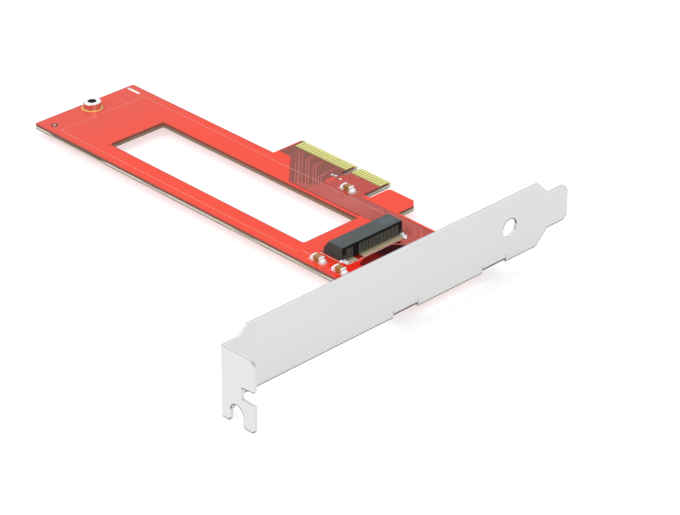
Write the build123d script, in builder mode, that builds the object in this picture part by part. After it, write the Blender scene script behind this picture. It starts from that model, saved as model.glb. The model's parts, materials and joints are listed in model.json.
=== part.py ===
from build123d import *
import os

os.makedirs("parts", exist_ok=True)

# Adapter card for one 110 mm solid state drive, with its full-height slot bracket.
# Frame: origin at the key notch, on the card edge, half way through the board.
# +Y leaves the card edge, +X points out through the bracket, +Z is the component side.

# Board
board_thickness = 1.6
standoff_from_end = 3.3
board_edge = -11.4
board_width = 36.0
copper = 0.04
hole_clearance = 0.05
board_top = board_thickness / 2
board_bottom = -board_top
pad_top = board_top + copper
centre_line = board_edge - board_width / 2
board_corner_radius = 0.6

# Card edge
contact_pitch = 1.0
contact_width = 0.7
contact_inner_end = -4.2
contact_outer_end = -0.5
short_contact_outer_end = -1.6
tongue_start = -22.15
tongue_end = 12.15
first_pin_offset = 1.5
key_width = 1.9
key_depth = 6.4
bevel_length = 1.2
bevel_depth = 0.4
corner_bevel = 0.5
pins_near_bracket = 11
pins_past_key = 21

# Slot between tongue and hook, and the hook that a slot latch holds
hook_gap = 2.5
gap_floor = -10.7
hook_length = 11.2
hook_outer_edge = -3.45
hook_small_chamfer = 0.8
hook_large_chamfer = 2.1

# Window through the board
window_start = -56.8
window_end = 20.2
window_low = -40.4
window_high = -21.1

# Bracket sheet, all heights measured from the plate's lower edge
sheet = 0.86
bend_inner_radius = 0.2
bend_outer_radius = bend_inner_radius + sheet
tab_bend_inner_radius = 0.15
tab_bend_outer_radius = 0.5
bracket_face = 62.7
tab_face = -106.8
plate_height = 18.42
bracket_length = 120.02
taper_length = 4.115
tongue_width = plate_height - 2 * taper_length
tongue_length = 7.27
tab_length = 10.6
tab_top = 15.88
tab_drop = 3.5
neck_length = 5.3
lower_neck_length = 2.2
tip_radius = 2.2
shoulder_radius = 1.8
lower_edge_radius = 0.35
ear_recess = 0.35
plate_low = board_top - ear_recess
plate_mid = plate_low + plate_height / 2
board_setback = 2.3
board_end = bracket_face - sheet - board_setback

# Screw slot and finger notch of the tab
screw_slot_width = 4.42
screw_slot_centre = 4.6
screw_slot_rise = -0.45
notch_start = 6.3
notch_low = 4.1
notch_high = 7.2
notch_high_outer = 7.8
tab_chamfer = 1.1
finger_radius = 1.0

# Round hole in the plate
plate_hole_radius = 2.5
plate_hole_along = 98.1
plate_hole_height = 9.5

# Ears that carry the board
ear_width = 8.6
ear_reach = 9.6
ear_slit = 0.12
ear_slit_height = 1.9
near_ear_inset = 1.3
far_ear_inset = 2.7
ear_corner_radius = 1.4
screw_inset = 3.4
screw_from_plate = 6.0
screw_radius = 1.5
thread_clearance = 0.03
collar_radius = 2.3
collar_height = 0.7
screw_head_radius = 2.8
screw_head_height = 1.5
screw_head_chamfer = 0.5
screw_clearance = 0.1
ring_radius = 3.1

# SSD slot
slot_rear = 34.35
slot_depth = 6.95
slot_top_depth = 5.15
slot_height = 4.0
slot_half_length = 10.7
mouth_half_length = 10.05
mouth_floor = 1.8
mouth_height = 1.25
mouth_depth = 5.0
slot_pin_pitch = 0.25
slot_pin_count = 75
key_pins = [59, 60, 61, 62, 63, 64, 65, 66]
key_rib_width = 1.1
groove_width = 0.32
spring_width = 0.2
spring_thickness = 0.15
tail_reach = 1.25
rear_groove_depth = 0.2
foot_gap = 0.25
slot_front = slot_rear - slot_depth
slot_top = board_top + slot_height
cavity_end = slot_front + mouth_depth
cavity_floor = board_top + mouth_floor
cavity_roof = cavity_floor + mouth_height
pad_width = 0.3
peg_from_front = 3.4
peg_spread = 9.0
small_peg_radius = 0.55
large_peg_radius = 0.8

# Standoff and SSD length
ssd_length = 110.0
ssd_seat_from_rear = 2.05
standoff_x = slot_rear - ssd_seat_from_rear - ssd_length
board_far_end = standoff_x - standoff_from_end
standoff_radius = 2.6
standoff_height = 2.0
spigot_radius = 2.1
thread_hole_radius = 1.25
standoff_ring_radius = 3.1

# Ceramic capacitors, length along X
chip_length = 3.2
chip_width = 1.6
chip_height = 1.5
terminal_length = 0.55
terminal_skin = 0.04
fillet_reach = 0.55
fillet_rise = 0.95
chip_a_from_rear = -4.85
chip_b_from_rear = 3.05
chip_c_from_tongue = -4.65
chip_inset = 3.25
chip_c_inset = 0.5

# Fiducial dot
dot_radius = 0.5
dot_from_end = 4.6
dot_inset = 3.25

# Derived places of the screws, ears, capacitors and fiducial
screw_x = bracket_face - sheet - screw_from_plate
screw_places = [
    (screw_x, board_edge - board_width + screw_inset),
    (screw_x, board_edge - screw_inset),
]
near_edge = board_edge - board_width
ear_centres = [near_edge + near_ear_inset, board_edge - far_ear_inset]
chip_places = {
    "a": (slot_rear + chip_a_from_rear, near_edge + chip_inset),
    "b": (slot_rear + chip_b_from_rear, near_edge + chip_inset),
    "c": (tongue_end + chip_c_from_tongue, board_edge - chip_c_inset),
}
dot_place = (board_far_end + dot_from_end, near_edge + dot_inset)


def save(part, name):
    part.label = name
    export_step(part, "parts/" + name + ".step")


def pin_y(pin):
    return centre_line - (pin - (slot_pin_count + 1) / 2) * slot_pin_pitch


def edge_pin_x(pin):
    if pin <= pins_near_bracket:
        return first_pin_offset + (pins_near_bracket - pin) * contact_pitch
    return -first_pin_offset - (pin - pins_near_bracket - 1) * contact_pitch


def row_spans(pins):
    return [
        (pins[0], max(pin for pin in pins if pin < key_pins[0])),
        (min(pin for pin in pins if pin > key_pins[-1]), pins[-1]),
    ]


upper_pins = [pin for pin in range(1, slot_pin_count + 1, 2) if pin not in key_pins]
lower_pins = [pin for pin in range(2, slot_pin_count, 2) if pin not in key_pins]

# Circuit board: outline with tongue, key notch, hook and window, then bevels and holes
peg_x = slot_front + peg_from_front
peg_spots = [
    (peg_x, centre_line - peg_spread, small_peg_radius),
    (peg_x, centre_line + peg_spread, large_peg_radius),
]
hook_start = tongue_end + hook_gap
hook_end = hook_start + hook_length
with BuildPart() as circuit_board:
    with BuildSketch(Plane.XY.offset(board_bottom)):
        with BuildLine():
            Polyline(
                (board_far_end, board_edge - board_width),
                (board_end, board_edge - board_width),
                (board_end, board_edge),
                (hook_end, board_edge),
                (hook_end, hook_outer_edge - hook_large_chamfer),
                (hook_end - hook_large_chamfer, hook_outer_edge),
                (hook_start + hook_small_chamfer, hook_outer_edge),
                (hook_start, hook_outer_edge - hook_small_chamfer),
                (hook_start, gap_floor),
                (tongue_end, gap_floor),
                (tongue_end, -corner_bevel),
                (tongue_end - corner_bevel, 0),
                (key_width / 2, 0),
                (key_width / 2, -key_depth),
                (-key_width / 2, -key_depth),
                (-key_width / 2, 0),
                (tongue_start + corner_bevel, 0),
                (tongue_start, -corner_bevel),
                (tongue_start, board_edge),
                (board_far_end, board_edge),
                close=True,
            )
        make_face()
    extrude(amount=board_thickness)
    far_corners = circuit_board.edges().filter_by(Axis.Z).group_by(Axis.X)[0]
    fillet(far_corners, board_corner_radius)
    with BuildSketch(Plane.XY.offset(board_bottom)):
        with Locations(((window_start + window_end) / 2, (window_low + window_high) / 2)):
            RectangleRounded(window_end - window_start, window_high - window_low, board_corner_radius)
    extrude(amount=board_thickness, mode=Mode.SUBTRACT)
    with BuildSketch(Plane.YZ.offset(tongue_start)):
        with BuildLine():
            Polyline(
                (-bevel_length, board_top),
                (0, board_top - bevel_depth),
                (0.2, board_top - bevel_depth),
                (0.2, board_top + 0.2),
                (-bevel_length, board_top + 0.2),
                close=True,
            )
        make_face()
        mirror(about=Plane.XZ)
    extrude(amount=tongue_end - tongue_start, mode=Mode.SUBTRACT)
    with BuildSketch(Plane.XY.offset(board_bottom)):
        with Locations((standoff_x, centre_line)):
            Circle(spigot_radius + hole_clearance)
        with Locations(*screw_places):
            Circle(screw_radius + screw_clearance)
        for x, y, radius in peg_spots:
            with Locations((x, y)):
                Circle(radius + hole_clearance)
    extrude(amount=board_thickness, mode=Mode.SUBTRACT)
save(circuit_board.part, "circuit_board")


# Card edge contacts: thin gold strips that follow the board's face and its bevel
def contact_profile(outer_end):
    drop = bevel_depth * (outer_end + bevel_length) / bevel_length
    Polyline(
        (contact_inner_end, board_top),
        (-bevel_length, board_top),
        (outer_end, board_top - drop),
        (outer_end, board_top - drop + copper),
        (-bevel_length, pad_top),
        (contact_inner_end, pad_top),
        close=True,
    )


def short_contact_profile():
    Polyline(
        (contact_inner_end, board_top),
        (short_contact_outer_end, board_top),
        (short_contact_outer_end, pad_top),
        (contact_inner_end, pad_top),
        close=True,
    )


def edge_planes(pins):
    return [Plane.YZ.offset(edge_pin_x(pin) - contact_width / 2) for pin in pins]


edge_pin_count = pins_near_bracket + pins_past_key
short_top_pins = [17, 31]
long_top_pins = [pin for pin in range(1, edge_pin_count) if pin not in short_top_pins]
with BuildPart() as edge_contacts_top:
    with BuildSketch(*edge_planes(long_top_pins)):
        with BuildLine():
            contact_profile(contact_outer_end)
        make_face()
    extrude(amount=contact_width)
    with BuildSketch(*edge_planes(short_top_pins)):
        with BuildLine():
            short_contact_profile()
        make_face()
    extrude(amount=contact_width)
save(edge_contacts_top.part, "edge_contacts_top")

with BuildPart() as edge_contacts_bottom:
    with BuildSketch(*edge_planes(range(2, edge_pin_count + 1))):
        with BuildLine():
            contact_profile(contact_outer_end)
        make_face()
    extrude(amount=contact_width)
    with BuildSketch(*edge_planes([1])):
        with BuildLine():
            short_contact_profile()
        make_face()
    extrude(amount=contact_width)
    mirror(about=Plane.XY, mode=Mode.REPLACE)
save(edge_contacts_bottom.part, "edge_contacts_bottom")

# SSD slot housing: extruded side profile, open mouth, key rib, grooves and pegs
groove_roof = slot_top - 0.45
beam_top = groove_roof - 0.05
shank_x = slot_rear - rear_groove_depth
front_shank_x = slot_front + 0.75
roof_well_start = slot_front + 2.5
lower_beam_z = cavity_floor - 0.65
with BuildPart() as slot_housing:
    with BuildSketch(Plane.XZ.offset(-(centre_line + slot_half_length))):
        with BuildLine():
            Polyline(
                (slot_front, board_top),
                (slot_rear, board_top),
                (slot_rear, slot_top),
                (slot_rear - slot_top_depth, slot_top),
                (slot_front, cavity_floor - 0.3),
                close=True,
            )
        make_face()
    extrude(amount=2 * slot_half_length)
    top_rim = slot_housing.faces().sort_by(Axis.Z)[-1].edges()
    chamfer(top_rim, 0.15)
    with BuildSketch(Plane.YZ.offset(cavity_end)):
        with Locations((centre_line, (cavity_floor + cavity_roof) / 2)):
            Rectangle(2 * mouth_half_length, mouth_height)
    extrude(amount=-(mouth_depth + 1), mode=Mode.SUBTRACT)
    with BuildSketch(Plane.YZ.offset(cavity_end)):
        with Locations((pin_y((key_pins[0] + key_pins[-1]) / 2), (cavity_floor + cavity_roof) / 2)):
            Rectangle(key_rib_width, mouth_height)
    extrude(amount=-(mouth_depth - 1.6))
    with BuildSketch(Plane.XY.offset(groove_roof)):
        for pin in upper_pins:
            with Locations(((shank_x + slot_rear) / 2, pin_y(pin))):
                Rectangle(rear_groove_depth, groove_width)
    extrude(amount=board_top - groove_roof, mode=Mode.SUBTRACT)
    for first, last in row_spans(upper_pins):
        with BuildSketch(Plane.XY.offset(groove_roof)):
            with Locations(((roof_well_start + shank_x) / 2, (pin_y(first) + pin_y(last)) / 2)):
                Rectangle(shank_x - roof_well_start, pin_y(first) - pin_y(last) + groove_width)
        extrude(amount=cavity_roof - groove_roof, mode=Mode.SUBTRACT)
    for first, last in row_spans(lower_pins):
        with BuildSketch(Plane.XY.offset(cavity_floor)):
            with Locations(((front_shank_x + cavity_end) / 2, (pin_y(first) + pin_y(last)) / 2)):
                Rectangle(cavity_end - front_shank_x, pin_y(first) - pin_y(last) + groove_width)
        extrude(amount=board_top + foot_gap - cavity_floor, mode=Mode.SUBTRACT)
        with BuildSketch(Plane.XY.offset(board_top)):
            with Locations(((slot_front + cavity_end) / 2, (pin_y(first) + pin_y(last)) / 2)):
                Rectangle(cavity_end - slot_front, pin_y(first) - pin_y(last) + groove_width)
        extrude(amount=foot_gap, mode=Mode.SUBTRACT)
    for x, y, radius in peg_spots:
        with BuildSketch(Plane.XY.offset(board_top)):
            with Locations((x, y)):
                Circle(radius)
        extrude(amount=-1.1)
save(slot_housing.part, "slot_housing")


def spring_planes(pins):
    return [Plane.XZ.offset(-(pin_y(pin) + spring_width / 2)) for pin in pins]


# Upper spring contacts: tail behind the slot, shank in the rear groove, beam to the mouth
with BuildPart() as slot_contacts_upper:
    with BuildSketch(*spring_planes(upper_pins)):
        with BuildLine():
            Polyline(
                (slot_rear + tail_reach, pad_top),
                (slot_rear + tail_reach, pad_top + spring_thickness),
                (shank_x + spring_thickness, pad_top + spring_thickness),
                (shank_x + spring_thickness, beam_top),
                (cavity_end - 1.0, beam_top),
                (roof_well_start + 0.3, cavity_roof - 0.1),
                (roof_well_start + 0.7, cavity_roof - 0.3),
                (cavity_end - 1.0, beam_top - spring_thickness),
                (shank_x, beam_top - spring_thickness),
                (shank_x, pad_top),
                close=True,
            )
        make_face()
    extrude(amount=spring_width)
save(slot_contacts_upper.part, "slot_contacts_upper")

# Lower spring contacts: tail in front, short shank, beam that rises towards the rear
with BuildPart() as slot_contacts_lower:
    with BuildSketch(*spring_planes(lower_pins)):
        with BuildLine():
            Polyline(
                (slot_front - tail_reach, pad_top),
                (front_shank_x + spring_thickness, pad_top),
                (front_shank_x + spring_thickness, lower_beam_z),
                (cavity_end - 1.2, cavity_floor + 0.08),
                (cavity_end - 0.7, cavity_floor - 0.15),
                (cavity_end - 1.2, cavity_floor + 0.27),
                (front_shank_x, lower_beam_z + spring_thickness),
                (front_shank_x, pad_top + spring_thickness),
                (slot_front - tail_reach, pad_top + spring_thickness),
                close=True,
            )
        make_face()
    extrude(amount=spring_width)
save(slot_contacts_lower.part, "slot_contacts_lower")

# Solder pads of the slot: one under each tail, and one under each hold-down
hold_down_inset = 0.45
hold_down_width = 0.8
hold_down_y = slot_half_length - hold_down_inset
hold_down_reach = 1.4
with BuildPart() as slot_pads:
    with BuildSketch(Plane.XY.offset(board_top)):
        for pin in upper_pins:
            with Locations((slot_rear + tail_reach / 2 + 0.2, pin_y(pin))):
                Rectangle(tail_reach + 0.4, pad_width)
        for pin in lower_pins:
            with Locations((slot_front - tail_reach / 2 - 0.2, pin_y(pin))):
                Rectangle(tail_reach + 0.4, pad_width)
        for side in (-1, 1):
            with Locations((slot_rear + hold_down_reach / 2 + 0.2, centre_line + side * (hold_down_y + 0.1))):
                Rectangle(hold_down_reach + 0.4, hold_down_width + 0.5)
    extrude(amount=copper)
save(slot_pads.part, "slot_pads")

# Hold-downs: folded metal feet against the housing's rear corners
for side, name in ((-1, "slot_hold_down_left"), (1, "slot_hold_down_right")):
    low_y = centre_line + side * hold_down_y - hold_down_width / 2
    with BuildPart() as hold_down:
        with BuildSketch(Plane.XZ.offset(-(low_y + hold_down_width))):
            with BuildLine():
                Polyline(
                    (slot_rear, pad_top),
                    (slot_rear + hold_down_reach, pad_top),
                    (slot_rear + hold_down_reach, pad_top + 0.2),
                    (slot_rear + 0.2, pad_top + 0.2),
                    (slot_rear + 0.2, pad_top + 1.6),
                    (slot_rear, pad_top + 1.6),
                    close=True,
                )
            make_face()
        extrude(amount=hold_down_width)
    save(hold_down.part, name)

# Standoff: turned collar with a spigot in the board and a threaded bore right through
with BuildPart() as standoff:
    with BuildSketch(Plane.XY.offset(pad_top)):
        with Locations((standoff_x, centre_line)):
            Circle(standoff_radius)
    extrude(amount=standoff_height)
    rim = standoff.faces().sort_by(Axis.Z)[-1].edges()
    chamfer(rim, 0.15)
    with BuildSketch(Plane.XY.offset(pad_top)):
        with Locations((standoff_x, centre_line)):
            Circle(spigot_radius)
    extrude(amount=-(board_thickness + copper - 0.1))
    with BuildSketch(Plane.XY.offset(pad_top + standoff_height)):
        with Locations((standoff_x, centre_line)):
            Circle(thread_hole_radius)
    extrude(amount=-(standoff_height + board_thickness + 1), mode=Mode.SUBTRACT)
save(standoff.part, "standoff")

with BuildPart() as standoff_pad:
    with BuildSketch(Plane.XY.offset(board_top)):
        with Locations((standoff_x, centre_line)):
            Circle(standoff_ring_radius)
            Circle(spigot_radius + hole_clearance, mode=Mode.SUBTRACT)
    extrude(amount=copper)
save(standoff_pad.part, "standoff_pad")

# Bracket: flat plate with tapered tongue, tab folded outwards, two ears folded inwards
plate_inner = bracket_face - sheet
plate_top = plate_low + plate_height
neck_top = plate_low + tab_top
neck_bottom = plate_low - tab_drop
neck_rise = plate_height - tab_top
tongue_low = plate_low + taper_length
tongue_high = plate_top - taper_length
tip = tab_face + bracket_length
shoulder = tip - tongue_length
ear_under = board_top
ear_over = ear_under + sheet
with BuildPart() as bracket:
    with BuildSketch(Plane.YZ.offset(plate_inner)) as plate_sketch:
        with BuildLine():
            Polyline(
                (tab_face, neck_bottom),
                (tab_face + lower_neck_length, neck_bottom),
                (tab_face + lower_neck_length + tab_drop, plate_low),
                (shoulder - taper_length, plate_low),
                (shoulder, tongue_low),
                (tip, tongue_low),
                (tip, tongue_high),
                (shoulder, tongue_high),
                (shoulder - taper_length, plate_top),
                (tab_face + neck_length + neck_rise, plate_top),
                (tab_face + neck_length, neck_top),
                (tab_face, neck_top),
                close=True,
            )
        make_face()
        fillet(plate_sketch.vertices().group_by(Axis.X)[-1], tip_radius)
        corner_place = shoulder - taper_length
        plate_corners = plate_sketch.vertices().filter_by_position(
            Axis.X, corner_place - 0.01, corner_place + 0.01
        )
        fillet(plate_corners, shoulder_radius)
        with Locations((tab_face + plate_hole_along, plate_low + plate_hole_height)):
            Circle(plate_hole_radius, mode=Mode.SUBTRACT)
        for centre in ear_centres:
            with Locations((centre, plate_low)):
                Rectangle(ear_width, 2 * (ear_under - plate_low), mode=Mode.SUBTRACT)
            for side in (-1, 1):
                with Locations((centre + side * (ear_width + ear_slit) / 2, plate_low)):
                    Rectangle(ear_slit, 2 * ear_slit_height, mode=Mode.SUBTRACT)
    extrude(amount=sheet)
    rounded_edges = (
        bracket.edges()
        .filter_by(Axis.Y)
        .filter_by_position(Axis.X, bracket_face - 0.01, bracket_face + 0.01)
        .filter_by_position(Axis.Z, plate_low - 0.01, plate_low + 0.01)
    )
    fillet(rounded_edges, lower_edge_radius)
    with BuildSketch(Plane.XZ.offset(-tab_face)) as tab_sketch:
        with BuildLine():
            Polyline(
                (plate_inner, neck_bottom),
                (bracket_face + tab_length, neck_bottom),
                (bracket_face + tab_length, neck_top - tab_chamfer),
                (bracket_face + tab_length - tab_chamfer, neck_top),
                (plate_inner, neck_top),
                close=True,
            )
        make_face()
        with Locations((bracket_face + screw_slot_centre, plate_low + screw_slot_rise)):
            Circle(screw_slot_width / 2, mode=Mode.SUBTRACT)
        with Locations((bracket_face + screw_slot_centre, plate_low + screw_slot_rise - 4)):
            Rectangle(screw_slot_width, 8, mode=Mode.SUBTRACT)
        finger_corners = tab_sketch.vertices().group_by(Axis.Y)[0].sort_by(Axis.X)[1:]
        fillet(finger_corners, finger_radius)
        with BuildLine():
            Polyline(
                (bracket_face + notch_start, plate_low + notch_low),
                (bracket_face + tab_length + 1, plate_low + notch_low),
                (bracket_face + tab_length + 1, plate_low + notch_high_outer),
                (bracket_face + notch_start, plate_low + notch_high),
                close=True,
            )
        make_face(mode=Mode.SUBTRACT)
    extrude(amount=-sheet)
    for centre in ear_centres:
        with BuildSketch(Plane.XY.offset(ear_under)) as ear_sketch:
            with Locations((bracket_face - ear_reach / 2 - sheet / 2, centre)):
                Rectangle(ear_reach + sheet, ear_width)
            fillet(ear_sketch.vertices().group_by(Axis.X)[0], ear_corner_radius)
        extrude(amount=sheet)
    ear_bends = (
        bracket.edges()
        .filter_by(Axis.Y)
        .filter_by_position(Axis.X, bracket_face - 0.01, bracket_face + 0.01)
        .filter_by_position(Axis.Z, ear_under - 0.01, ear_under + 0.01)
    )
    fillet(ear_bends, bend_outer_radius)
    inner_bends = (
        bracket.edges()
        .filter_by(Axis.Y)
        .filter_by_position(Axis.X, plate_inner - 0.01, plate_inner + 0.01)
        .filter_by_position(Axis.Z, ear_over - 0.01, ear_over + 0.01)
    )
    fillet(inner_bends, bend_inner_radius)
    tab_bend = (
        bracket.edges()
        .filter_by(Axis.Z)
        .filter_by_position(Axis.X, plate_inner - 0.01, plate_inner + 0.01)
        .filter_by_position(Axis.Y, tab_face - 0.01, tab_face + 0.01)
    )
    fillet(tab_bend, tab_bend_outer_radius)
    tab_inner_bend = (
        bracket.edges()
        .filter_by(Axis.Z)
        .filter_by_position(Axis.X, bracket_face - 0.01, bracket_face + 0.01)
        .filter_by_position(Axis.Y, tab_face + sheet - 0.01, tab_face + sheet + 0.01)
    )
    fillet(tab_inner_bend, tab_bend_inner_radius)
    with BuildSketch(Plane.XY.offset(ear_over)):
        with Locations(*screw_places):
            Circle(collar_radius)
    extrude(amount=collar_height)
    with BuildSketch(Plane.XY.offset(ear_under)):
        with Locations(*screw_places):
            Circle(screw_radius + thread_clearance)
    extrude(amount=sheet + collar_height, mode=Mode.SUBTRACT)
save(bracket.part, "bracket")

# Screws from the solder side, up through the board into the ears' threaded collars
ring_bottom = board_bottom - copper
for place, name in zip(screw_places, ("bracket_screw_front", "bracket_screw_rear")):
    with BuildPart() as screw:
        with BuildSketch(Plane.XY.offset(ring_bottom)):
            with Locations(place):
                Circle(screw_head_radius)
        extrude(amount=-screw_head_height)
        head_rim = screw.edges().sort_by(Axis.Z)[0]
        chamfer(head_rim, screw_head_chamfer)
        with BuildSketch(Plane.XY.offset(ring_bottom)):
            with Locations(place):
                Circle(screw_radius)
        extrude(amount=ear_over + collar_height - ring_bottom)
        with BuildSketch(Plane.XY.offset(ring_bottom - screw_head_height)):
            with Locations(place):
                Rectangle(2.6, 0.6)
                Rectangle(0.6, 2.6)
        extrude(amount=0.9, mode=Mode.SUBTRACT)
    save(screw.part, name)

# Plated rings round the screw holes, under the screw heads
with BuildPart() as screw_rings:
    with BuildSketch(Plane.XY.offset(ring_bottom)):
        with Locations(*screw_places):
            Circle(ring_radius)
            Circle(screw_radius + screw_clearance, mode=Mode.SUBTRACT)
    extrude(amount=copper)
save(screw_rings.part, "screw_rings")

# Ceramic capacitors: a plain body inside two wrapped end terminals
chip_floor = pad_top
for letter, place in chip_places.items():
    chip_centre_z = chip_floor + chip_height / 2
    with BuildPart() as capacitor:
        with Locations((place[0], place[1], chip_centre_z)):
            Box(
                chip_length - 2 * terminal_skin,
                chip_width - 2 * terminal_skin,
                chip_height - 2 * terminal_skin,
            )
    save(capacitor.part, "capacitor_" + letter)
    with BuildPart() as ends:
        for side in (-1, 1):
            with Locations((place[0] + side * (chip_length - terminal_length) / 2, place[1], chip_centre_z)):
                Box(terminal_length, chip_width, chip_height)
        with Locations((place[0], place[1], chip_centre_z)):
            Box(
                chip_length - 2 * terminal_skin,
                chip_width - 2 * terminal_skin,
                chip_height - 2 * terminal_skin,
                mode=Mode.SUBTRACT,
            )
    save(ends.part, "capacitor_" + letter + "_ends")

# Pads and solder fillets of the capacitors
pad_length = 1.5
with BuildPart() as capacitor_pads:
    with BuildSketch(Plane.XY.offset(board_top)):
        for place in chip_places.values():
            for side in (-1, 1):
                with Locations((place[0] + side * (chip_length / 2 + fillet_reach + 0.1 - pad_length / 2), place[1])):
                    Rectangle(pad_length, chip_width + 0.2)
    extrude(amount=copper)
save(capacitor_pads.part, "capacitor_pads")

with BuildPart() as capacitor_solder:
    for place in chip_places.values():
        for side in (-1, 1):
            with BuildSketch(Plane.XZ.offset(-(place[1] + chip_width / 2))):
                with BuildLine():
                    Polyline(
                        (place[0] + side * chip_length / 2, chip_floor),
                        (place[0] + side * (chip_length / 2 + fillet_reach), chip_floor),
                        (place[0] + side * (chip_length / 2 + 0.2), chip_floor + 0.35),
                        (place[0] + side * chip_length / 2, chip_floor + fillet_rise),
                        close=True,
                    )
                make_face()
            extrude(amount=chip_width)
save(capacitor_solder.part, "capacitor_solder")

with BuildPart() as fiducial:
    with BuildSketch(Plane.XY.offset(board_top)):
        with Locations(dot_place):
            Circle(dot_radius)
    extrude(amount=copper)
save(fiducial.part, "fiducial")
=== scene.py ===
import bpy
import json
import math
from mathutils import Matrix, Vector


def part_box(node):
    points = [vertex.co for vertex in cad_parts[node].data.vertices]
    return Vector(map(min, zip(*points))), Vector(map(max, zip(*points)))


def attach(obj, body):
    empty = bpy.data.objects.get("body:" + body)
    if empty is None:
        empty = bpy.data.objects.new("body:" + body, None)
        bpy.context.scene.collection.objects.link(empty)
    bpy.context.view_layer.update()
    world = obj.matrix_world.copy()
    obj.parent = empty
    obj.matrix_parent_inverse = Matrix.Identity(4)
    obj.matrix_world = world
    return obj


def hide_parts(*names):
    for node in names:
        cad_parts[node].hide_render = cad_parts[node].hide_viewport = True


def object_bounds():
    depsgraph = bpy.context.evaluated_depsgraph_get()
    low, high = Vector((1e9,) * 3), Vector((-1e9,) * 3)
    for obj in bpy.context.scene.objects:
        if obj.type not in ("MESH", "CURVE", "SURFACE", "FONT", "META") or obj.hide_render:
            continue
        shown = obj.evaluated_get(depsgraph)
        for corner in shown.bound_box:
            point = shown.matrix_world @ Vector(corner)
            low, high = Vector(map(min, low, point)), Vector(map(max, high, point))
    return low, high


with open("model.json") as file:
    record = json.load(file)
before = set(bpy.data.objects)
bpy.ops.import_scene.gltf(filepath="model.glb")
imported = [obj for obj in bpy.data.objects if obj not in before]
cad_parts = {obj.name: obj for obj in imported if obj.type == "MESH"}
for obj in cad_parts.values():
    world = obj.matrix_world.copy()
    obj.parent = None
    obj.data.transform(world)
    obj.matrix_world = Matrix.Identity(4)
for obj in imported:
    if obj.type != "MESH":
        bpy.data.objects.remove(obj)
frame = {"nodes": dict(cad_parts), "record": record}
cadLow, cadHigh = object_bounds()
nodes = frame["nodes"]
mm = 0.001  # the card's sizes and all places below are in millimetres, in the card's own frame
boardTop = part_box("circuit_board")[1][2] / mm
print("frame loaded,", len(nodes), "nodes")


# Camera: where the photograph was taken from
cameraSetup = {
    "place": (466.78, -466.35, 345.59),
    "photoWidth": 680,
    "azimuth": 45.482,
    "elevation": 29.498,
    "roll": 0.367,
    "focalPixels": 2743.3,
    "sensor": 36.0,
    "nearest": 0.02,  # metres, as is the farthest
    "farthest": 20,
}


def makeCamera(setup):
    turn = math.radians(setup["azimuth"])
    lift = math.radians(setup["elevation"])
    roll = math.radians(setup["roll"])
    level = math.cos(lift)
    back = Vector((math.sin(turn) * level, -math.cos(turn) * level, math.sin(lift)))
    right = Vector((math.cos(turn), math.sin(turn), 0))
    up = back.cross(right)
    rolledRight = right * math.cos(roll) + up * math.sin(roll)
    rolledUp = up * math.cos(roll) - right * math.sin(roll)
    data = bpy.data.cameras.new("camera")
    data.sensor_width = setup["sensor"]
    data.lens = setup["focalPixels"] / setup["photoWidth"] * setup["sensor"]
    data.clip_start = setup["nearest"]
    data.clip_end = setup["farthest"]
    camera = bpy.data.objects.new("camera", data)
    bpy.context.scene.collection.objects.link(camera)
    basis = Matrix((rolledRight, rolledUp, back)).transposed().to_4x4()
    camera.matrix_world = Matrix.Translation(Vector(setup["place"]) * mm) @ basis
    bpy.context.scene.camera = camera


makeCamera(cameraSetup)
print("camera placed")


# Shader sums: one output socket that Python can add, multiply and compare
class Wire:
    def __init__(self, tree, socket):
        self.tree = tree
        self.socket = socket

    def maths(self, operation, *values):
        node = self.tree.nodes.new("ShaderNodeMath")
        node.operation = operation
        for port, value in zip(node.inputs, values):
            plug(self.tree, port, value)
        return Wire(self.tree, node.outputs[0])

    def __add__(self, other):
        return self.maths("ADD", self, other)

    def __radd__(self, other):
        return self.maths("ADD", other, self)

    def __sub__(self, other):
        return self.maths("SUBTRACT", self, other)

    def __rsub__(self, other):
        return self.maths("SUBTRACT", other, self)

    def __mul__(self, other):
        return self.maths("MULTIPLY", self, other)

    def __rmul__(self, other):
        return self.maths("MULTIPLY", other, self)

    def __truediv__(self, other):
        return self.maths("DIVIDE", self, other)

    def __abs__(self):
        return self.maths("ABSOLUTE", self)

    def root(self):
        return self.maths("SQRT", self)

    def limit(self):  # keeps a mask between 0 and 1
        return self.maths("MAXIMUM", self.maths("MINIMUM", self, 1), 0)

    def above(self, edge, soft):  # 0 below the edge, 1 above it
        return ((self - (edge - soft)) / (2 * soft)).limit()

    def below(self, edge, soft):
        return 1 - self.above(edge, soft)

    def between(self, low, high, soft):
        return self.above(low, soft) * self.below(high, soft)


def plug(tree, port, value):
    if isinstance(value, Wire):
        tree.links.new(value.socket, port)
    elif port.type == "RGBA" and len(value) == 3:
        port.default_value = (*value, 1)
    else:
        port.default_value = value


def fillRamp(ramp, stops):
    while len(ramp.elements) > len(stops):
        ramp.elements.remove(ramp.elements[-1])
    while len(ramp.elements) < len(stops):
        ramp.elements.new(1)
    for element, (place, colour) in zip(ramp.elements, stops):
        element.position = place
        element.color = (*colour, 1)


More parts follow.
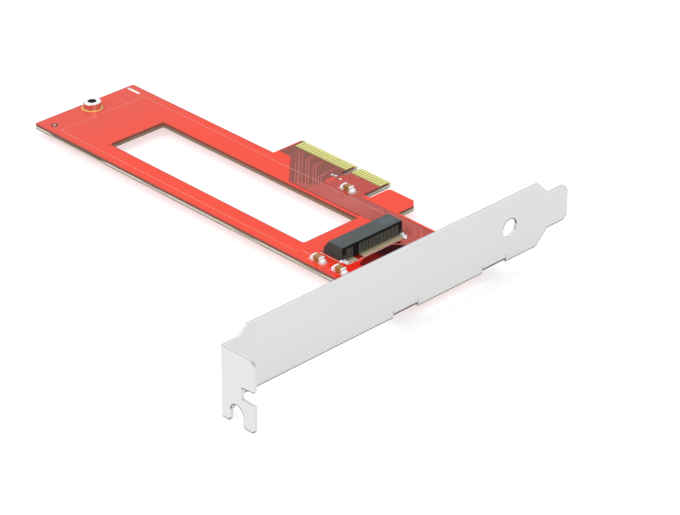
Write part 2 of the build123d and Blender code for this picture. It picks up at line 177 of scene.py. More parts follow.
class Coat:  # one material: its nodes, its shader, and what leads into it
    def __init__(self, name, **constants):
        self.material = bpy.data.materials.new(name)
        self.material.use_nodes = True
        self.tree = self.material.node_tree
        self.tree.nodes.clear()
        output = self.tree.nodes.new("ShaderNodeOutputMaterial")
        self.shader = self.tree.nodes.new("ShaderNodeBsdfPrincipled")
        self.tree.links.new(self.shader.outputs[0], output.inputs["Surface"])
        self.feed(**constants)
        self.where = self.node("TexCoord", out="Object")
        self.x, self.y, self.z = [part / mm for part in self.parts(self.where)]

    def parts(self, vector):
        return [self.node("SeparateXYZ", out=axis, Vector=vector) for axis in "XYZ"]

    def node(self, kind, settings=None, out=0, **values):
        made = self.tree.nodes.new("ShaderNode" + kind)
        for key, value in (settings or {}).items():
            if key == "stops":
                fillRamp(made.color_ramp, value)
            else:
                setattr(made, key, value)
        for port, value in values.items():
            plug(self.tree, made.inputs[port.replace("_", " ")], value)
        return Wire(self.tree, made.outputs[out])

    def mix(self, factor, first, second):
        made = self.tree.nodes.new("ShaderNodeMix")
        made.data_type = "RGBA"
        for port, value in ((0, factor), (6, first), (7, second)):
            plug(self.tree, made.inputs[port], value)
        return Wire(self.tree, made.outputs[2])

    def noise(self, size, detail=2.0, roughness=0.5, stretch=(1, 1, 1)):
        where = self.node("Mapping", None, 0, Vector=self.where, Scale=stretch)
        values = {"Vector": where, "Scale": 1 / (size * mm), "Detail": detail, "Roughness": roughness}
        return self.node("TexNoise", {"noise_dimensions": "3D"}, "Fac", **values)

    def distance(self, x, y, squash=1):  # from an upright line, in millimetres
        across = self.x - x
        along = (self.y - y) * squash
        return (across * across + along * along).root()

    def bump(self, height, strength, depth):
        made = self.node("Bump", None, "Normal", Height=height, Strength=strength, Distance=depth * mm)
        self.feed(Normal=made)

    def feed(self, **values):
        for port, value in values.items():
            plug(self.tree, self.shader.inputs[port.replace("_", " ")], value)


# Board: glossy red mask over copper, bare laminate where there is none, the layers of its cut edge, and
# painted shade by the slot and the bracket
boardLook = {
    "overCopper": (0.92, 0.042, 0.007),
    "overCopperShade": (0.72, 0.080, 0.055),
    "overLaminate": (0.17, 0.055, 0.040),
    "overTraceField": (0.47, 0.050, 0.038),
    # painted shadow: a deeper red where the bracket's shadow falls on the board
    "bracketShadowRed": (0.80, 0.012, 0.010),
    # painted shade: a dark red behind the slot, towards the bracket, and around the slot's foot
    "slotShadeRed": (0.17, 0.004, 0.004),
    # painted shade: near black where the shade behind the slot is deepest
    "deepShadeRed": (0.035, 0.002, 0.003),
    "byKey": (0.50, 0.050, 0.035),
    "bareLaminate": (0.24, 0.21, 0.05),
    "tipGlow": (0.72, 0.70, 0.30),
    "edgePale": (0.66, 0.62, 0.53),
    "edgeDark": (0.17, 0.10, 0.07),
    "edgeRim": (0.26, 0.055, 0.030),
    "wallMiddle": (0.27, 0.19, 0.13),
    "opening": (0.03, 0.014, 0.010),
    "rough": 0.75,
    "gloss": 0.08,
    "fiducial": (-76.4, -44.15),
    "fiducialOpening": (1.03, 0.04),
    "rearSlope": 2.2,  # the line field's rear edge: millimetres of y for each of x
}
boardZones = {  # where each tone lies: an edge, or a low and a high one, then how soft they are
    "face": (0.785, 0.01),
    "fanX": (-21.8, 11.0, 0.15),
    "fanFrom": (-9.6, 0.1),
    "fanY": (-19.6, -9.4, 0.12),
    "fanDiagonal": (-26.4, 0.15),
    "fanEnd": (-0.6, 0.3),
    "byKeyX": (0.6, 13.0, 0.3),
    "byKeyY": (-13.2, -4.4, 0.2),
    "fieldX": (-1.3, 62, 0.15),
    "fieldY": (-19.7, -12.5, 0.1),
    "fieldDiagonal": (-24.8, 0.15),
    "rearX": (36.5, 0.1),
    "rearY": (-38.0, -12.5, 0.1),
    "rearSlant": (45.8, 0.2),
    # where painted shade lies behind the slot
    "shade": (-22.2, 0.2),
    # where the painted shade behind the slot is deepest
    "deepY": (-31.0, 1.2),
    "deepX": (43.0, 3.0),
    # where painted contact shade lies around and under the slot
    "slotX": (26.4, 36.2, 0.25),
    "slotY": (-40.55, -18.7, 0.25),
    # where the bracket's painted shadow lies
    "bracketShadowX": (34, 1.5),
    "bracketShadowY": (-37, 1),
    "farEnd": (-60, 16),
    "rimFar": (-80.65, 0.04),
    "rimNear": (-47.05, 0.04),
    "rimBack": (-11.75, 0.04),
    "rimBackX": (-22.5, 0.1),
    "rimWindowX": (-57.15, 20.55, 0.04),
    "rimWindowY": (-40.75, -20.75, 0.04),
    "tongueX": (-21.05, 12.3, 0.1),
    "tongueY": (-4.55, 0.05),
    "tipX": (-21.3, 12.3, 0.1),
    "tipY": (-1.35, 0.05),
    "tipZ": (0.2, 0.1),
    "wallX": (-57.0, 20.5, 0.15),
    "wallY": (-40.6, -20.8, 0.15),
    "patchNoise": (0.55, 0.05),
    "patchFrom": (-48, 2),
    "patchSolid": (-74, -51, 1.5),
}


def edgeRamps(look):  # the laminate's layers from the solder side up: pale, dark, and the window's walls
    dim, lit, lip, middle = look["edgeDark"], look["edgePale"], look["edgeRim"], look["wallMiddle"]
    pale = [(0.0, dim), (0.12, dim), (0.20, lit), (0.56, lit), (0.66, dim), (0.86, lip)]
    dark = [(0.0, dim), (0.10, lit), (0.24, lit), (0.36, dim), (0.84, dim), (1.0, lip)]
    walls = [(0.0, lit), (0.14, middle), (0.52, middle), (0.66, lip), (1.0, lip)]
    return pale, dark, walls


def edgeColour(coat, look, zone, weave):
    level = (coat.z + boardTop) / (2 * boardTop) + (weave - 0.5) * 0.2
    ramps = [coat.node("ValToRGB", {"stops": stops}, "Color", Fac=level) for stops in edgeRamps(look)]
    pale, dark, walls = ramps
    patch = coat.noise(24, 1, 0.4, (1.0, 1.0, 0.1)).above(*zone["patchNoise"]) * 0.5
    patch = patch * coat.x.above(*zone["patchFrom"]) + coat.x.between(*zone["patchSolid"])
    wall = coat.x.between(*zone["wallX"]) * coat.y.between(*zone["wallY"])
    return coat.mix(wall, coat.mix(patch.limit(), pale, dark), walls)


def boardCoat(look, zone):
    coat = Coat("solder mask board", IOR=1.5)
    x, y, z = coat.x, coat.y, coat.z
    face = abs(z).above(*zone["face"])
    top = z.above(0, 0.01)
    diagonal = x + y  # grows across the lines routed at 45 degrees
    fan = x.between(*zone["fanX"]) * y.above(*zone["fanFrom"])
    fan = fan + diagonal.above(*zone["fanDiagonal"]) * y.between(*zone["fanY"]) * x.below(*zone["fanEnd"])
    copperByKey = x.between(*zone["byKeyX"]) * y.between(*zone["byKeyY"])
    field = y.between(*zone["fieldY"]) * x.between(*zone["fieldX"]) * diagonal.above(*zone["fieldDiagonal"])
    slant = (x * look["rearSlope"] + y).above(*zone["rearSlant"])
    rear = x.above(*zone["rearX"]) * y.between(*zone["rearY"]) * slant
    # painted shade on the board behind the slot
    shade = rear * y.below(*zone["shade"])
    # painted shade: the deepest part of the shade behind the slot
    deep = shade * y.above(*zone["deepY"]) * x.below(*zone["deepX"])
    # painted contact shade on the board around and under the slot
    slotContactShade = x.between(*zone["slotX"]) * y.between(*zone["slotY"]) * 0.8
    rim = x.below(*zone["rimFar"]) + y.below(*zone["rimNear"])
    rim = rim + y.above(*zone["rimBack"]) * x.below(*zone["rimBackX"])
    rim = rim + x.between(*zone["rimWindowX"]) * y.between(*zone["rimWindowY"]) * face
    cloud = coat.noise(9, 3)
    fine = coat.noise(0.6, 2)
    weave = coat.noise(0.35, 3, 0.6, (0.25, 0.25, 1.0))
    farEnd = x.below(*zone["farEnd"]) * 0.55
    colour = coat.mix((cloud * 0.35 + farEnd).limit(), look["overCopper"], look["overCopperShade"])
    # painted shadow of the bracket on the board
    corner = x.above(*zone["bracketShadowX"]) * y.below(*zone["bracketShadowY"]) * 0.7
    colour = coat.mix(corner * top, colour, look["bracketShadowRed"])
    colour = coat.mix((field + rear).limit() * top, colour, look["overTraceField"])
    colour = coat.mix(copperByKey * top, colour, look["byKey"])
    colour = coat.mix((shade + slotContactShade).limit() * top, colour, look["slotShadeRed"])
    colour = coat.mix(deep * top, colour, look["deepShadeRed"])
    colour = coat.mix(fan.limit() * (1 - copperByKey) * top * 0.9, colour, look["overLaminate"])
    colour = coat.mix(rim.limit() * 0.8, colour, look["overTraceField"])
    tongue = x.between(*zone["tongueX"]) * y.above(*zone["tongueY"])
    colour = coat.mix(tongue, colour, look["bareLaminate"])
    opening = coat.distance(*look["fiducial"]).below(*look["fiducialOpening"]) * top
    colour = coat.mix(opening, colour, look["opening"])
    colour = coat.mix(face, edgeColour(coat, look, zone, weave), colour)
    tip = x.between(*zone["tipX"]) * y.above(*zone["tipY"]) * z.above(*zone["tipZ"])
    coat.feed(Base_Color=coat.mix(tip, colour, look["tipGlow"]))
    smoother = face * (look["rough"] - look["gloss"])
    coat.feed(Roughness=look["rough"] - smoother + fine * 0.05 + tongue * face * 0.3)
    coat.bump(cloud * 0.4 + fine * 0.06 + weave * (1 - face), 0.2, 0.05)
    return coat.material


# Plain metals: a fine speck, and a slow change of tone
def metalCoat(look):
    coat = Coat(look["name"], Metallic=look["metallic"])
    speck = coat.noise(look["grain"], 3, 0.55)
    cloud = coat.noise(6, 2)
    darker = tuple(part * 0.82 for part in look["colour"])
    coat.feed(Base_Color=coat.mix(speck * 0.5 + cloud * 0.3, look["colour"], darker))
    coat.feed(Roughness=look["roughness"] + (speck - 0.5) * 0.1)
    coat.bump(speck, 0.12, 0.02)
    return coat.material


goldLook = {
    "name": "plated gold",
    "colour": (0.98, 0.96, 0.34),
    "metallic": 0.45,
    "roughness": 0.28,
    "grain": 0.4,
}
tinLook = {
    "name": "bright solder",
    "colour": (0.97, 0.97, 0.98),
    "metallic": 0.3,
    "roughness": 0.25,
    "grain": 0.6,
}
ringLook = {
    "name": "gold ring",
    "colour": (1.0, 0.55, 0.17),
    "metallic": 0.12,
    "roughness": 0.20,
    "grain": 0.4,
}
spotLook = {
    "name": "bare copper spot",
    "colour": (0.85, 0.50, 0.42),
    "metallic": 0.3,
    "roughness": 0.35,
    "grain": 0.3,
}
screwLook = {
    "name": "plated screw",
    "colour": (0.72, 0.72, 0.71),
    "metallic": 1.0,
    "roughness": 0.24,
    "grain": 0.4,
}
tailMetal = {
    "name": "tinned tails",
    "colour": (0.70, 0.64, 0.42),
    "metallic": 0.3,
    "roughness": 0.34,
    "grain": 0.25,
}
# the thread's darker metal is partly painted shade down the standoff's bore
threadMetal = {
    "name": "thread in painted shade",
    "colour": (0.22, 0.21, 0.20),
    "metallic": 0.8,
    "roughness": 0.25,
    "grain": 0.2,
}


# Bracket: plated sheet with a faint rolled grain along its length, darker sheared edges, and painted shade
# along its lower edges and on faces that look down
bracketLook = {
    "colour": (0.92, 0.915, 0.915),
    "dull": (0.87, 0.865, 0.865),
    "sheared": (0.52, 0.52, 0.52),
    "slope": (0.60, 0.60, 0.60),
    # painted shade: a near black line along the sheet's lower edges
    "lowerEdgeShade": (0.04, 0.04, 0.04),
    # painted shade: a darker grey on faces that look straight down
    "under": (0.34, 0.34, 0.34),
    "metallic": 0.45,
    "roughness": 0.42,
    "edgeWidth": 0.50,
    "plateInner": 61.84,
    "tabFace": -106.8,
    "earMargin": 0.05,
    "innerShare": 0.4,
    "outerFrom": 0.5,
    "tabShare": 0.5,
    "tabBand": (0.3, 0.95),
}


def bracketCoat(look):
    coat = Coat("plated sheet", Metallic=look["metallic"])
    rolled = coat.noise(0.35, 3, 0.6, (1.0, 0.06, 1.0))
    speck = coat.noise(0.25, 2)
    cloud = coat.noise(22, 2)
    facing = coat.parts(coat.node("NewGeometry", None, "True Normal"))[2]  # 1 where a face looks up
    bevel = coat.node("Bevel", {"samples": 6}, "Normal", Radius=look["edgeWidth"] * mm)
    eased = coat.parts(bevel)[2]  # the same, but eased near an edge
    plate, tab = look["plateInner"], look["tabFace"]
    outside = coat.x.above(plate - look["earMargin"], 0.02)  # leaves the ears out
    inner = coat.x.below(plate + look["innerShare"], 0.1) + coat.y.below(tab + look["tabShare"], 0.1)
    upper = facing.above(0.3, 0.1) * outside * (0.25 + inner * 0.75)
    # painted shade where the eased edge turns down, and on faces that look down
    lowerShadeMask = (facing - eased).above(0.07, 0.04) * facing.below(0.3, 0.1) + facing.below(-0.12, 0.05)
    bandLow, bandHigh = look["tabBand"]
    outer = coat.x.above(plate + look["outerFrom"], 0.05)
    outer = outer * (1 - coat.y.between(tab + bandLow, tab + bandHigh, 0.05))
    colour = coat.mix(rolled * 0.4 + cloud * 0.4, look["colour"], look["dull"])
    colour = coat.mix(upper.limit() * 0.7, colour, look["sheared"])
    colour = coat.mix(facing.between(0.3, 0.9, 0.05) * outside, colour, look["slope"])
    colour = coat.mix(lowerShadeMask.limit() * outer, colour, look["lowerEdgeShade"])
    # painted shade on faces that look straight down
    coat.feed(Base_Color=coat.mix(facing.below(-0.95, 0.02), colour, look["under"]))
    coat.feed(Roughness=look["roughness"] + (rolled - 0.5) * 0.10 + (cloud - 0.5) * 0.05)
    coat.bump(rolled * 0.7 + speck * 0.3, 0.10, 0.01)
    return coat.material


# Housing: glass-filled black moulding with a painted sheen spot; at the back between the springs it is
# dull, and painted shade makes it near black
housingLook = {
    "colour": (0.052, 0.060, 0.060),
    "paleToneAndSheen": (0.080, 0.110, 0.120),
    # painted shade: near black at the back, under the top's overhang and between the springs
    "back": (0.001, 0.003, 0.003),
    "ends": (0.035, 0.065, 0.062),
    "roughness": 0.50,
    "backFrom": 34.0,
    "rearFaceFrom": 34.28,
    "topFrom": 4.65,
    "nearEnd": -39.95,
    # painted sheen: a paler spot standing in for a highlight
    "sheen": (31.6, -21.6, 0.6),
    "sheenRadius": 1.4,
}


def housingCoat(look):
    coat = Coat("moulded housing", IOR=1.5)
    speck = coat.noise(0.3, 3, 0.6)
    cloud = coat.noise(4, 2)
    side = coat.z.below(look["topFrom"], 0.04)
    # painted shade at the back, which is also rougher
    back = coat.x.above(look["backFrom"], 0.05) * side
    back = (back + coat.x.above(look["rearFaceFrom"], 0.03)).limit()
    ends = coat.y.below(look["nearEnd"], 0.04) * side
    # painted sheen: a paler spot where a highlight falls
    sheen = coat.distance(*look["sheen"]).below(look["sheenRadius"], 0.5)
    colour = coat.mix((cloud * 0.5 + sheen * 0.7).limit(), look["colour"], look["paleToneAndSheen"])
    colour = coat.mix(ends, colour, look["ends"])
    coat.feed(Base_Color=coat.mix(back, colour, look["back"]))
    coat.feed(Roughness=look["roughness"] + (speck - 0.5) * 0.12 + back * 0.48)
    coat.bump(speck, 0.18, 0.02)
    return coat.material


# Springs: worn gold at the tails, darker where they climb the slot's back, and painted shade near black at
# their heads under the housing's top
springLook = {
    "tail": (0.68, 0.62, 0.40),
    "stem": (0.30, 0.34, 0.30),
    # painted shade near black at the heads; the same colour darkens the random specks
    "headShadeAndSpeck": (0.01, 0.012, 0.012),
    "stemFrom": 1.15,
    "headFrom": 3.95,
    "metallic": 0.15,
    "roughness": 0.45,
}


def springCoat(look):
    coat = Coat("gold spring", Metallic=look["metallic"])
    speck = coat.noise(0.3, 3, 0.55)
    colour = coat.mix(coat.z.above(look["stemFrom"], 0.1), look["tail"], look["stem"])
    # painted shade on the heads, under the housing's top
    colour = coat.mix(coat.z.above(look["headFrom"], 0.1), colour, look["headShadeAndSpeck"])
    coat.feed(Base_Color=coat.mix(speck * 0.5, colour, look["headShadeAndSpeck"]))
    coat.feed(Roughness=look["roughness"] + (speck - 0.5) * 0.1)
    coat.bump(speck, 0.12, 0.02)
    return coat.material


# Standoff: mirror-bright side, pale turned face, and a bore darkened by painted shade
nickelLook = {
    "side": (0.76, 0.66, 0.56),
    "face": (0.97, 0.97, 0.97),
    # painted shade: near black down the bore
    "bore": (0.02, 0.018, 0.016),
    "centre": (-77.7, -29.4),
    "boreRadius": 1.30,
    "faceDepth": 0.05,
    "rimDepth": 0.12,
    "roughness": 0.09,
}


def nickelCoat(look, top):
    coat = Coat("turned nickel")
    face = coat.z.above(top - look["faceDepth"], 0.02)
    below = coat.z.below(top - look["rimDepth"], 0.05)
    # painted shade: the bore below its rim is near black and less metallic
    bore = coat.distance(*look["centre"]).below(look["boreRadius"], 0.02) * below
    turned = coat.noise(0.25, 2, 0.5, (1, 1, 0.2))
    colour = coat.mix(face, look["side"], look["face"])
    coat.feed(Base_Color=coat.mix(bore, colour, look["bore"]))
    coat.feed(Metallic=1 - face * 0.7 - bore * 0.6)
    coat.feed(Roughness=look["roughness"] + face * 0.25 + turned * 0.06)
    coat.bump(turned, 0.1, 0.01)
    return coat.material


# Capacitors: brown fired ceramic
ceramicLook = {"colour": (0.50, 0.26, 0.055), "dark": (0.24, 0.12, 0.03), "roughness": 0.4}


def ceramicCoat(look):
    coat = Coat("fired ceramic", IOR=1.6)
    speck = coat.noise(0.25, 3, 0.6)
    coat.feed(Base_Color=coat.mix(speck, look["colour"], look["dark"]))
    coat.feed(Roughness=look["roughness"] + (speck - 0.5) * 0.1)
    coat.bump(speck, 0.1, 0.01)
    return coat.material


def inkCoat(name, colour, roughness):  # printed ink, or mask that lies over a copper line
    coat = Coat(name, IOR=1.5)
    speck = coat.noise(0.4, 3, 0.6)
    darker = tuple(part * 0.88 for part in colour)
    coat.feed(Base_Color=coat.mix(speck, colour, darker))
    coat.feed(Roughness=roughness + (speck - 0.5) * 0.1)
    coat.bump(speck, 0.1, 0.01)
    return coat.material


# Hold-downs: tinned feet below, and a rougher plate darkened by painted shade where they climb beside the
# housing
holdLook = {
    "foot": (0.97, 0.97, 0.98),
    # painted shade: near black where the plate climbs beside the housing
    "plate": (0.07, 0.075, 0.075),
    "plateFrom": 1.35,
    "metallic": 0.3,
    "roughness": 0.3,
}


def holdCoat(look):
    coat = Coat("tinned plate", Metallic=look["metallic"])
    speck = coat.noise(0.3, 3, 0.6)
    # painted shade on the plate above the feet
    plate = coat.z.above(look["plateFrom"], 0.15)
    coat.feed(Base_Color=coat.mix(plate, look["foot"], look["plate"]))
    coat.feed(Roughness=look["roughness"] + plate * 0.3 + (speck - 0.5) * 0.1)
    coat.bump(speck, 0.1, 0.01)
    return coat.material


def wear(node, material):
    data = nodes[node].data
    data.materials.clear()
    data.materials.append(material)


tinCoat = metalCoat(tinLook)
standoffCoat = nickelCoat(nickelLook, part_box("standoff")[1][2] / mm)
finishes = {
    "board": boardCoat(boardLook, boardZones),
    "gold": metalCoat(goldLook),
    "housing": housingCoat(housingLook),
    "spring": springCoat(springLook),
    "tin": tinCoat,
    "standoff": standoffCoat,
    "bracket": bracketCoat(bracketLook),
    "screw": metalCoat(screwLook),
    "ceramic": ceramicCoat(ceramicLook),
}
for row in frame["record"]["subparts"]:
    wear(row["node"], finishes[row["material_slot"]])
wear("standoff_pad", metalCoat(ringLook))
wear("fiducial", metalCoat(spotLook))
for side in ("left", "right"):
    wear("slot_hold_down_" + side, holdCoat(holdLook))
print("finishes on all nodes")


# Modelling: small steps that every new piece goes through
def deselect():
    bpy.ops.object.select_all(action="DESELECT")


def smoothOver(angle):  # the active piece, apart from its edges sharper than the angle
    bpy.ops.object.shade_smooth_by_angle(angle=math.radians(angle))


def applyModifier(piece, kind, **settings):
    modifier = piece.modifiers.new(kind, kind)
    for key, value in settings.items():
        setattr(modifier, key, value)
    bpy.ops.object.modifier_apply(modifier=modifier.name)


def addBlock(size, centre):
    deselect()
    bpy.ops.mesh.primitive_cube_add(size=1, location=Vector(centre) * mm, scale=Vector(size) * mm)
    bpy.ops.object.transform_apply(location=True, rotation=True, scale=True)
    return bpy.context.object


def chooseFaces(piece, wanted):
    bpy.ops.object.mode_set(mode="OBJECT")
    for vertex in piece.data.vertices:
        vertex.select = False
    for edge in piece.data.edges:
        edge.select = False
    for polygon in piece.data.polygons:
        polygon.select = wanted(polygon)
    bpy.ops.object.mode_set(mode="EDIT")
    bpy.ops.mesh.select_mode(type="FACE")


def joinAll(pieces):
    deselect()
    for piece in pieces:
        piece.select_set(True)
    bpy.context.view_layer.objects.active = pieces[0]
    if len(pieces) > 1:
        bpy.ops.object.join()
    return bpy.context.object


def copyTo(piece, x, y):
    twin = piece.copy()
    twin.data = piece.data.copy()
    twin.data.transform(Matrix.Translation((x * mm, y * mm, 0)))
    bpy.context.scene.collection.objects.link(twin)
    return twin


def repeatAt(piece, places):  # the piece stands at the first place, and stays as one of the copies
    firstX, firstY = places[0]
    return joinAll([piece] + [copyTo(piece, x - firstX, y - firstY) for x, y in places[1:]])


def finishPiece(piece, name, material):
    piece.name = name
    piece.data.materials.clear()
    piece.data.materials.append(material)
    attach(piece, "root")
    return piece


def layRibbons(name, look, routes, closed=False):
    deselect()
    line = bpy.data.curves.new(name, "CURVE")
    line.dimensions = "3D"
    line.twist_mode = "Z_UP"
    line.extrude = look["width"] / 2 * mm
    for route in routes:
        spline = line.splines.new("POLY")
        spline.points.add(len(route) - 1)
        for point, (x, y) in zip(spline.points, route):
            point.co = (x * mm, y * mm, look["level"] * mm, 1)
            point.tilt = math.pi / 2
        spline.use_cyclic_u = closed
    ribbon = bpy.data.objects.new(name, line)
    bpy.context.scene.collection.objects.link(ribbon)
    ribbon.select_set(True)
    bpy.context.view_layer.objects.active = ribbon
    bpy.ops.object.convert(target="MESH")
    ribbon = bpy.context.object
    applyModifier(ribbon, "SOLIDIFY", thickness=look["thickness"] * mm, offset=0)
    return finishPiece(ribbon, name, look["material"])


# Copper lines under the mask: pairs that leave the card edge and run to the slot
traceLook = {
    "width": 0.29,
    "level": 0.803,
    "thickness": 0.016,
    "material": inkCoat("mask over lines", (0.62, 0.120, 0.095), 0.22),
    "pairGap": 0.52,
    "slotFront": 27.0,
}
pairStarts = [  # where each pair leaves the card edge, and the level at which it runs to the slot
    ([(-19.1, -5.6)], -19.3),
    ([(-17.15, -6.04)], -18.4),
    ([(-13.72, -4.9), (-12.91, -7.74)], -17.5),
    ([(-9.31, -4.9), (-8.91, -8.88)], -16.6),
    ([(-4.15, -4.9), (-3.51, -12.24)], -15.7),
]
singleRoutes = [
    [(-0.69, -10.78), (1.5, -12.97), (1.5, -14.2), (5.0, -14.75), (27.0, -14.75)],
    [(9.0, -14.2), (34.2, -14.2), (37.4, -17.2), (37.4, -20.4), (36.2, -21.6)],
    [(9.0, -13.75), (34.5, -13.75), (37.85, -17.0), (37.85, -20.6), (36.2, -22.3)],
    [(12.0, -13.1), (35.6, -13.1), (38.9, -16.4), (38.9, -21.6), (36.2, -24.3)],
    [(12.0, -12.7), (35.8, -12.7), (39.35, -16.2), (39.35, -21.8), (36.2, -25.0)],
    [(33.0, -15.6), (35.6, -17.6), (36.6, -18.9)],
    [(31.0, -16.2), (34.2, -16.2), (36.0, -17.9)],
]


def pairRoutes(look):
    routes = []
    for start, level in pairStarts:
        for step in (0, look["pairGap"]):
            points = [(x + step, y + step) for x, y in start]
            lastX, lastY = points[-1]
            points.append((lastX + lastY - (level + step), level + step))
            points.append((look["slotFront"], level + step))
            routes.append(points)
    return routes


layRibbons("traces", traceLook, pairRoutes(traceLook) + singleRoutes)
gapLook = dict(traceLook, width=0.24, material=inkCoat("mask in gaps", (0.11, 0.016, 0.014), 0.2))
gapRoutes = [
    [(13.0, -12.35), (40.0, -12.35)],
    [(-17.0, -9.75), (-6.9, -19.85), (20.0, -19.85)],
]
layRibbons("trace_gaps", gapLook, gapRoutes)
print("copper lines laid")

# Print: thin white lines that show where the drive and the small parts go
printLook = {
    "width": 0.12,
    "level": 0.806,
    "thickness": 0.020,
    "material": inkCoat("thin print", (0.85, 0.47, 0.42), 0.5),
}
printRoutes = [
    [(22.8, -44.8), (-72.9, -44.8), (-72.9, -14.35), (23.3, -14.35)],
    [(22.5, -43.3), (26.3, -43.7)],
]
boxCorners = [(-2.75, -1.2), (2.75, -1.2), (2.75, 1.2), (-2.75, 1.2)]
boxCentres = [(29.5, -44.15), (37.4, -44.15), (7.5, -11.9)]
boxRoutes = [[(boxX + x, boxY + y) for x, y in boxCorners] for boxX, boxY in boxCentres]
layRibbons("print_lines", printLook, printRoutes)
layRibbons("print_boxes", printLook, boxRoutes, closed=True)
barLook = dict(printLook, width=0.95, material=inkCoat("white print", (0.98, 0.96, 0.95), 0.5))
layRibbons("print_bar", barLook, [[(-80.2, -14.0), (-75.2, -14.0)]])
slotRoutes = [
    [(36.35, -39.8), (36.35, -20.7)],
    [(26.6, -40.75), (34.0, -40.75)],
]
layRibbons("print_by_slot", dict(barLook, width=0.14), slotRoutes)
print("print laid")

# Vias: small plated holes, capped by the mask, and three bare ones that are tinned
viaLook = {
    "radius": 0.28,
    "hole": 0.55,
    "height": 0.03,
    "sunk": 0.005,
    "dip": 0.02,
    "material": inkCoat("mask on vias", (0.20, 0.022, 0.018), 0.25),
}
viaSpots = [
    (-19.3, -5.2), (-15.5, -4.95), (-11.4, -5.0), (-7.2, -5.0), (-4.15, -5.1),
    (-1.7, -7.4), (3.2, -6.8), (5.6, -5.2), (10.4, -6.6), (11.6, -9.4),
    (-2.8, -9.9), (22.6, -13.2), (30.4, -12.0), (41.5, -16.4), (43.0, -22.8),
    (44.6, -29.0), (50.5, -19.2), (24.2, -42.2), (33.4, -46.2), (45.2, -41.0),
]
tinnedSpots = [(-1.67, -8.82), (-0.55, -8.6), (1.67, -9.06)]


def makeVia(look, place):
    deselect()
    height = look["height"] * mm
    radius = look["radius"] * mm
    centre = (place[0] * mm, place[1] * mm, (boardTop - look["sunk"]) * mm + height / 2)
    bpy.ops.mesh.primitive_cylinder_add(vertices=20, radius=radius, depth=height, location=centre)
    bpy.ops.object.transform_apply(location=True, rotation=True, scale=True)
    via = bpy.context.object
    chooseFaces(via, lambda polygon: polygon.normal.z > 0.9)
    bpy.ops.mesh.inset(thickness=radius * (1 - look["hole"]), depth=0)
    bpy.ops.transform.translate(value=(0, 0, -look["dip"] * mm))
    bpy.ops.object.mode_set(mode="OBJECT")
    return via


def setVias(name, look, spots, material):
    finishPiece(repeatAt(makeVia(look, spots[0]), spots), name, material)


setVias("vias", viaLook, viaSpots, viaLook["material"])
setVias("tinned_vias", dict(viaLook, radius=0.42), tinnedSpots, tinCoat)
print("vias set")

# Tail solder: a low mound over each of the slot's tails
tailLook = {
    "pitch": 0.25,
    "count": 75,
    "keyPins": range(59, 67),
    "middle": -29.4,
    "rearX": 35.28,
    "frontX": 26.47,
    "size": (1.62, 0.40, 0.20),
    "level": 0.93,
    "crown": (0.72, 0.45, 1),
    "round": 0.045,
    "material": metalCoat(tailMetal),
}


def makeTailSolder(look):
    middlePin = (look["count"] + 1) / 2
    places = []
    for pin in range(1, look["count"] + 1):
        if pin not in look["keyPins"]:
            x = look["rearX"] if pin % 2 else look["frontX"]
            places.append((x, look["middle"] - (pin - middlePin) * look["pitch"]))
    mound = addBlock(look["size"], (*places[0], look["level"]))
    chooseFaces(mound, lambda polygon: polygon.normal.z > 0.9)
    bpy.ops.transform.resize(value=look["crown"])
    bpy.ops.object.mode_set(mode="OBJECT")
    applyModifier(mound, "BEVEL", width=look["round"] * mm, segments=2)
    smoothOver(60)
    finishPiece(repeatAt(mound, places), "tail_solder", look["material"])


makeTailSolder(tailLook)
print("tails soldered")

# Solder lumps: half an egg on the board, at the slot's rear corners and at the capacitors' feet
lumpLook = {
    "floor": 0.82,
    "corners": [  # place, then half the width, half the depth and the height
        (34.95, -19.05, 0.50, 0.50, 0.75),
        (36.55, -19.75, 0.62, 0.62, 0.50),
        (34.15, -40.35, 0.60, 0.60, 0.55),
        (35.60, -39.75, 0.50, 0.50, 0.45),
    ],
}


def makeLump(x, y, wide, deep, tall):
    deselect()
    place = Vector((x, y, lumpLook["floor"])) * mm
    bpy.ops.mesh.primitive_uv_sphere_add(segments=24, ring_count=16, radius=mm, location=place)
    lump = bpy.context.object
    lump.scale = (wide, deep, tall)
    bpy.ops.object.transform_apply(location=True, rotation=True, scale=True)
    bpy.ops.object.mode_set(mode="EDIT")
    bpy.ops.mesh.select_all(action="SELECT")
    bpy.ops.mesh.bisect(plane_co=place, plane_no=(0, 0, 1), use_fill=True, clear_inner=True)
    bpy.ops.object.mode_set(mode="OBJECT")
    smoothOver(50)
    return lump


corners = joinAll([makeLump(*corner) for corner in lumpLook["corners"]])
finishPiece(corners, "hold_down_solder", tinCoat)
print("hold-downs soldered")

# Capacitor ends: rounded plated caps and the smooth solder at their feet
capLook = {"length": 0.75, "round": 0.22, "proud": 0.04, "reach": 0.20, "dome": (0.88, 1.08, 1.12)}


def endBox(letter):
    return [Vector(corner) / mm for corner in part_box("capacitor_" + letter + "_ends")]


def makeCap(look):  # over the card's origin, at the height of a capacitor
    low, high = endBox("a")
    proud = look["proud"]
    size = (look["length"], high.y - low.y + 2 * proud, high.z - low.z + proud)
    cap = addBlock(size, (0, 0, (low.z + high.z + proud) / 2))
    applyModifier(cap, "BEVEL", width=look["round"] * mm, segments=4)
    smoothOver(60)
    return cap


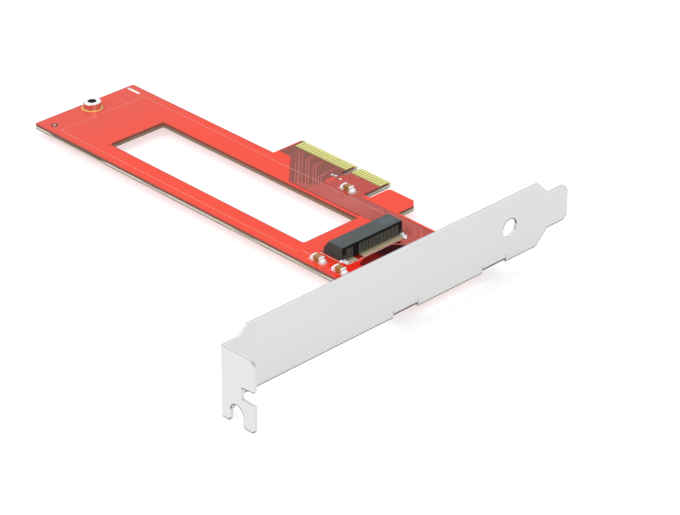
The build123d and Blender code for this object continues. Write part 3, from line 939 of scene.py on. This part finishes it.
def makeCapacitorEnds(look):
    cap = makeCap(look)
    dome = makeLump(0, 0, *look["dome"])
    inset = look["length"] / 2 - look["proud"]
    reach = look["reach"]
    domes = []
    for letter in "abc":
        low, high = endBox(letter)
        y = (low.y + high.y) / 2
        caps = joinAll([copyTo(cap, low.x + inset, y), copyTo(cap, high.x - inset, y)])
        finishPiece(caps, "capacitor_caps_" + letter, tinCoat)
        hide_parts("capacitor_" + letter + "_ends")
        domes += [copyTo(dome, low.x - reach, y), copyTo(dome, high.x + reach, y)]
    domes = finishPiece(joinAll(domes), "capacitor_domes", tinCoat)
    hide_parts("capacitor_solder")
    for pattern in (cap, dome):
        bpy.data.objects.remove(pattern)


makeCapacitorEnds(capLook)
print("capacitor ends made")

# Thread in the standoff: one ridge wound down the bore
threadLook = {
    "centre": (-77.7, -29.4),
    "top": 2.44,
    "ridge": 0.15,
    "ridgeRadius": 1.195,
    "pitch": 0.45,
    "turns": 7,
    "steps": 32,
    "material": metalCoat(threadMetal),
}


def makeThread(look):
    deselect()
    pitch = look["pitch"] * mm
    steps = look["steps"]
    turns = look["turns"]
    start = (look["ridgeRadius"] * mm, 0, look["top"] * mm - pitch * turns)
    inward = (math.pi / 2, -math.pi / 2, 0)  # a triangle stood upright, its point towards the axis
    ridge = look["ridge"] * mm
    bpy.ops.mesh.primitive_circle_add(vertices=3, radius=ridge, location=start, rotation=inward)
    bpy.ops.object.transform_apply(location=True, rotation=True, scale=True)
    thread = bpy.context.object
    applyModifier(thread, "SCREW", steps=steps, render_steps=steps, iterations=turns, screw_offset=pitch)
    bpy.ops.object.mode_set(mode="EDIT")
    bpy.ops.mesh.select_all(action="SELECT")
    bpy.ops.mesh.fill_holes(sides=3)
    bpy.ops.mesh.normals_make_consistent(inside=False)
    bpy.ops.object.mode_set(mode="OBJECT")
    thread.location = (look["centre"][0] * mm, look["centre"][1] * mm, 0)
    bpy.ops.object.transform_apply(location=True, rotation=True, scale=True)
    finishPiece(thread, "standoff_thread", look["material"])


makeThread(threadLook)
print("thread cut")

# Floor and light
floorLook = {
    "size": 6.0,  # metres
    "colour": (0.45, 0.45, 0.45),
    "glow": (0.34, 0.34, 0.34),
    "glowSeen": (0.64, 0.64, 0.64),
    "gap": 0.02,
}
lampSetup = [  # sizes in metres, power in watts
    {"name": "key", "place": (-250, -520, 620), "size": 0.6, "power": 2.6},
    {"name": "fill", "place": (620, -180, 420), "size": 0.7, "power": 1.0},
    {"name": "top", "place": (-60, 160, 700), "size": 0.8, "power": 1.4},
]
worldLevel = 0.60


def makeFloor(look):
    deselect()
    bpy.ops.mesh.primitive_plane_add(size=look["size"], location=(0, 0, cadLow.z - look["gap"] * mm))
    floor = bpy.context.object
    floor.name = "floor"
    coat = Coat("pale floor", Roughness=0.9, Specular_IOR_Level=0.1)
    seen = coat.node("LightPath", out="Is Camera Ray")
    glow = coat.mix(seen, look["glow"], look["glowSeen"])
    coat.feed(Base_Color=look["colour"], Emission_Color=glow, Emission_Strength=1.0)
    floor.data.materials.append(coat.material)


def makeLamp(setup):
    data = bpy.data.lights.new(setup["name"], "AREA")
    data.shape = "DISK"
    data.size = setup["size"]
    data.energy = setup["power"]
    lamp = bpy.data.objects.new(setup["name"], data)
    bpy.context.scene.collection.objects.link(lamp)
    lamp.location = Vector(setup["place"]) * mm
    lamp.rotation_mode = "QUATERNION"
    lamp.rotation_quaternion = (-lamp.location).to_track_quat("-Z", "Y")


def makeWorld(level):
    world = bpy.data.worlds.new("studio")
    bpy.context.scene.world = world
    world.use_nodes = True
    background = world.node_tree.nodes["Background"]
    background.inputs["Color"].default_value = (1, 1, 1, 1)
    background.inputs["Strength"].default_value = level


makeFloor(floorLook)
for setup in lampSetup:
    makeLamp(setup)
makeWorld(worldLevel)
bpy.context.scene.view_settings.view_transform = "Standard"
print("floor and light set")
